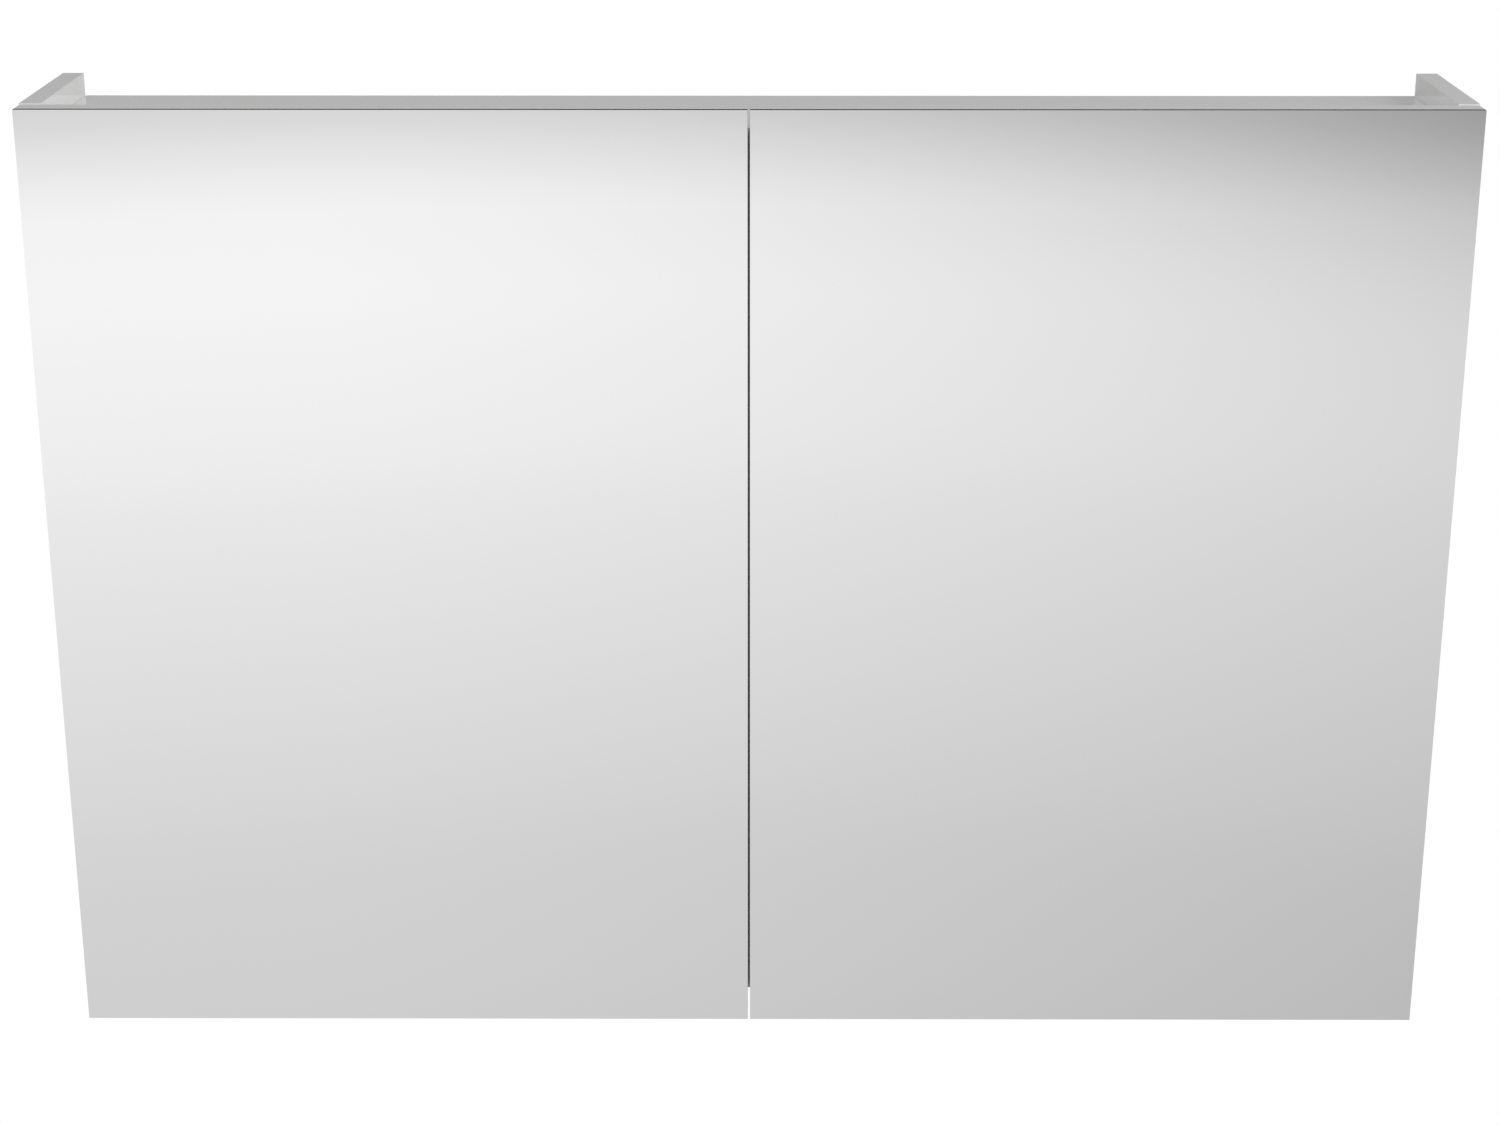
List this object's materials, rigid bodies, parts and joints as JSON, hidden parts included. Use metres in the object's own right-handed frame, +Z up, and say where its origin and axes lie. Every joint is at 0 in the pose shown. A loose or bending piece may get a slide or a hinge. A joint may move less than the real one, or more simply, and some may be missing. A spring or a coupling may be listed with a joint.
{
  "type": "bathroom mirror cabinet",
  "caption": "Wide, shallow white wall cabinet whose frameless mirrored doors swing out on concealed cup hinges; glass shelves inside.",
  "frame": {"origin": "middle of the wall rail's back face, on its screw line, in the plane of the wall", "axes": "+X to the right as seen from the front, +Y back into the wall, +Z up; the doors face -Y"},
  "size_m": [1, 0.153, 0.69],
  "materials": {
    "white_lacquer": "white gloss lacquer on board",
    "backboard": "matt white hardboard",
    "mirror_glass": "polished silvered glass",
    "shelf_glass": "clear tempered glass with polished edges",
    "nickel": "nickel-plated steel, satin",
    "zinc_plate": "zinc-plated steel",
    "hanger_plastic": "white moulded plastic",
    "bumper": "translucent soft polyurethane"
  },
  "bodies": {
    "carcass": {"side_panel_left": "white_lacquer", "side_panel_right": "white_lacquer", "top_panel": "white_lacquer", "bottom_panel": "white_lacquer", "centre_partition": "white_lacquer", "back_panel": "backboard", "wall_rail": "zinc_plate", "hanger_body_left": "hanger_plastic", "hanger_body_right": "hanger_plastic", "hanger_hook_left": "zinc_plate", "hanger_hook_right": "zinc_plate", "glass_shelf_left_lower": "shelf_glass", "glass_shelf_left_upper": "shelf_glass", "glass_shelf_right_lower": "shelf_glass", "glass_shelf_right_upper": "shelf_glass", "shelf_pin_left_lower_outer_back": "nickel", "shelf_pin_left_lower_outer_front": "nickel", "shelf_pin_left_lower_inner_back": "nickel", "shelf_pin_left_lower_inner_front": "nickel", "shelf_pin_left_upper_outer_back": "nickel", "shelf_pin_left_upper_outer_front": "nickel", "shelf_pin_left_upper_inner_back": "nickel", "shelf_pin_left_upper_inner_front": "nickel", "shelf_pin_right_lower_outer_back": "nickel", "shelf_pin_right_lower_outer_front": "nickel", "shelf_pin_right_lower_inner_back": "nickel", "shelf_pin_right_lower_inner_front": "nickel", "shelf_pin_right_upper_outer_back": "nickel", "shelf_pin_right_upper_outer_front": "nickel", "shelf_pin_right_upper_inner_back": "nickel", "shelf_pin_right_upper_inner_front": "nickel", "hinge_plate_left_lower": "nickel", "hinge_arm_left_lower": "nickel", "hinge_plate_left_upper": "nickel", "hinge_arm_left_upper": "nickel", "hinge_plate_right_lower": "nickel", "hinge_arm_right_lower": "nickel", "hinge_plate_right_upper": "nickel", "hinge_arm_right_upper": "nickel"},
    "left_inner_links": {"inner_link_left_lower": "nickel", "inner_link_left_upper": "nickel"},
    "left_outer_links": {"outer_link_left_lower": "nickel", "outer_link_left_upper": "nickel"},
    "left_door": {"door_board_left": "white_lacquer", "door_mirror_left": "mirror_glass", "hinge_cup_left_lower": "nickel", "hinge_cup_left_upper": "nickel", "door_bumper_left_lower": "bumper", "door_bumper_left_upper": "bumper"},
    "right_inner_links": {"inner_link_right_lower": "nickel", "inner_link_right_upper": "nickel"},
    "right_outer_links": {"outer_link_right_lower": "nickel", "outer_link_right_upper": "nickel"},
    "right_door": {"door_board_right": "white_lacquer", "door_mirror_right": "mirror_glass", "hinge_cup_right_lower": "nickel", "hinge_cup_right_upper": "nickel", "door_bumper_right_lower": "bumper", "door_bumper_right_upper": "bumper"}
  },
  "joints": [
    {"name": "left_inner_link_turn", "type": "hinge", "parent": "carcass", "child": "left_inner_links", "pos_m": [-0.46975, -0.1257, -0.267], "axis": [0, 0, 1], "range_deg": [0, 43.1]},
    {"name": "left_door_swing", "type": "hinge", "parent": "left_inner_links", "child": "left_door", "pos_m": [-0.4889, -0.1358, -0.267], "axis": [0, 0, -1], "range_deg": [0, 148]},
    {"name": "left_outer_link_turn", "type": "hinge", "parent": "carcass", "child": "left_outer_links", "pos_m": [-0.464, -0.1298, -0.267], "axis": [0, 0, 1], "range_deg": [0, 19]},
    {"name": "right_inner_link_turn", "type": "hinge", "parent": "carcass", "child": "right_inner_links", "pos_m": [0.46975, -0.1257, -0.267], "axis": [0, 0, -1], "range_deg": [0, 43.1]},
    {"name": "right_door_swing", "type": "hinge", "parent": "right_inner_links", "child": "right_door", "pos_m": [0.4889, -0.1358, -0.267], "axis": [0, 0, 1], "range_deg": [0, 148]},
    {"name": "right_outer_link_turn", "type": "hinge", "parent": "carcass", "child": "right_outer_links", "pos_m": [0.464, -0.1298, -0.267], "axis": [0, 0, -1], "range_deg": [0, 19]}
  ],
  "couplings": [
    {"joint": "left_inner_link_turn", "follows": "left_door_swing", "ratio": 0.29078},
    {"joint": "left_outer_link_turn", "follows": "left_door_swing", "ratio": 0.12766},
    {"joint": "right_inner_link_turn", "follows": "right_door_swing", "ratio": 0.29078},
    {"joint": "right_outer_link_turn", "follows": "right_door_swing", "ratio": 0.12766}
  ]
}
